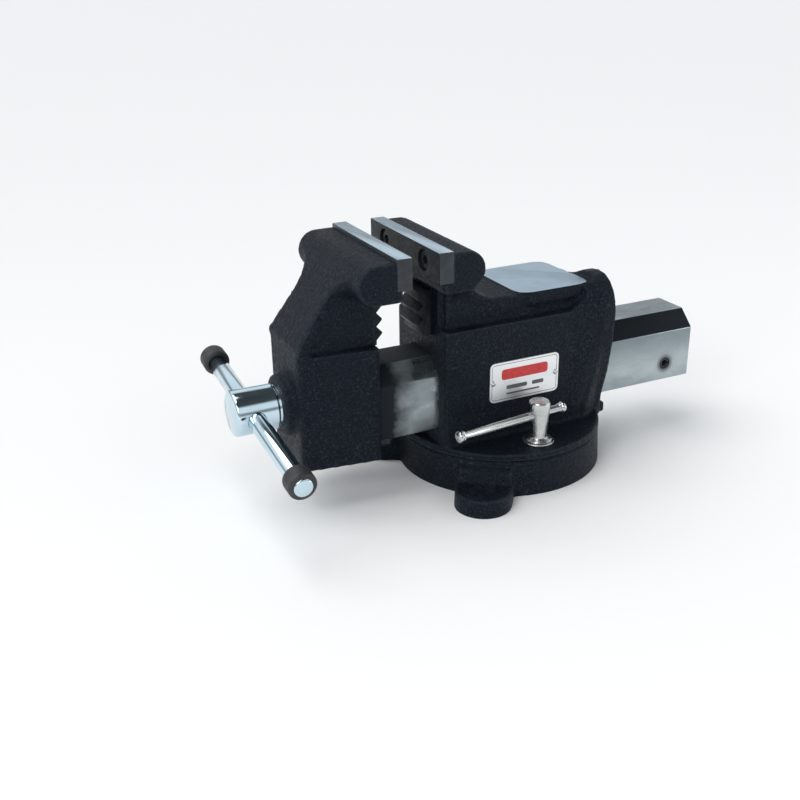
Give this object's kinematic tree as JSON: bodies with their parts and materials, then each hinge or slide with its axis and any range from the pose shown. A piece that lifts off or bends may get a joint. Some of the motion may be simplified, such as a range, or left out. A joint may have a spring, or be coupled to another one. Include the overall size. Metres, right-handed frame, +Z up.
{
  "type": "bench vise",
  "caption": "Bench vise with flat jaw plates, pipe jaws, an anvil, a screw-driven slide bar and a lockable swivel base.",
  "frame": {"origin": "on the swivel axis, at the underside of the base", "axes": "+X runs back along the slide, from the movable jaw to the fixed jaw; +Y is the side away from the rating plate; +Z is up"},
  "size_m": [0.3435, 0.18, 0.1685],
  "materials": {
    "casting": "dark blue-black hammer paint over rough cast iron",
    "ground_steel": "ground flat, bright, with fine scratches",
    "slide_steel": "machined, stained, paint overspray at the front",
    "dark_steel": "black oxide",
    "chrome": "bright chrome plate",
    "nickel": "satin nickel plate",
    "bronze": "machined bronze",
    "rubber": "matte black rubber",
    "label": null
  },
  "bodies": {
    "base": {"base": "casting"},
    "turntable": {"fixed_jaw_body": "casting", "pivot_pin": "slide_steel", "fixed_jaw_plate": "ground_steel", "fixed_plate_screws": "dark_steel", "fixed_pipe_jaw": "dark_steel", "spindle_nut": "bronze", "nut_bolt": "dark_steel", "rating_plate": "label", "plate_rivets": "nickel", "slot_nut_near": "dark_steel", "slot_nut_far": "dark_steel"},
    "carriage": {"movable_jaw": "casting", "slide_bar": "slide_steel", "movable_jaw_plate": "ground_steel", "movable_plate_screws": "dark_steel", "movable_pipe_jaw": "dark_steel", "slide_stop_pin": "dark_steel"},
    "screw": {"spindle": "chrome", "thrust_washer": "chrome", "spindle_collar": "dark_steel", "collar_pin": "slide_steel"},
    "tommy_bar": {"handle_bar": "chrome", "handle_ring_near": "rubber", "handle_ring_far": "rubber"},
    "near_lock": {"lock_screw_near": "nickel", "lock_washer_near": "nickel"},
    "near_lock_handle": {"lock_bar_near": "nickel"},
    "far_lock": {"lock_screw_far": "nickel", "lock_washer_far": "nickel"},
    "far_lock_handle": {"lock_bar_far": "nickel"}
  },
  "joints": [
    {"name": "swivel", "type": "hinge", "parent": "base", "child": "turntable", "pos_m": [0, 0, 0.0245], "axis": [0, 0, 1], "continuous": true},
    {"name": "jaw_travel", "type": "slide", "parent": "turntable", "child": "carriage", "axis": [-1, 0, 0], "range_m": [-0.0179, 0.102]},
    {"name": "spindle_turn", "type": "hinge", "parent": "carriage", "child": "screw", "pos_m": [-0.183, 0, 0.0685], "axis": [-1, 0, 0], "range_deg": [-1288.8, 7344]},
    {"name": "handle_slide", "type": "slide", "parent": "screw", "child": "tommy_bar", "axis": [0, 0.9925, 0.1219], "range_m": [-0.0524, 0.0652]},
    {"name": "near_lock_turn", "type": "hinge", "parent": "turntable", "child": "near_lock", "pos_m": [-0.001, -0.054, 0.03], "axis": [0, 0, 1], "range_deg": [-18, 36]},
    {"name": "near_lock_bar_slide", "type": "slide", "parent": "near_lock", "child": "near_lock_handle", "axis": [-0.9936, -0.1132, 0], "range_m": [-0.054, 0.009]},
    {"name": "far_lock_turn", "type": "hinge", "parent": "turntable", "child": "far_lock", "pos_m": [-0.001, 0.054, 0.03], "axis": [0, 0, -1], "range_deg": [-18, 36]},
    {"name": "far_lock_bar_slide", "type": "slide", "parent": "far_lock", "child": "far_lock_handle", "axis": [-0.9936, 0.1132, 0], "range_m": [-0.054, 0.009]}
  ],
  "couplings": [
    {"joint": "spindle_turn", "follows": "jaw_travel", "rad_per_m": 1256.6}
  ]
}
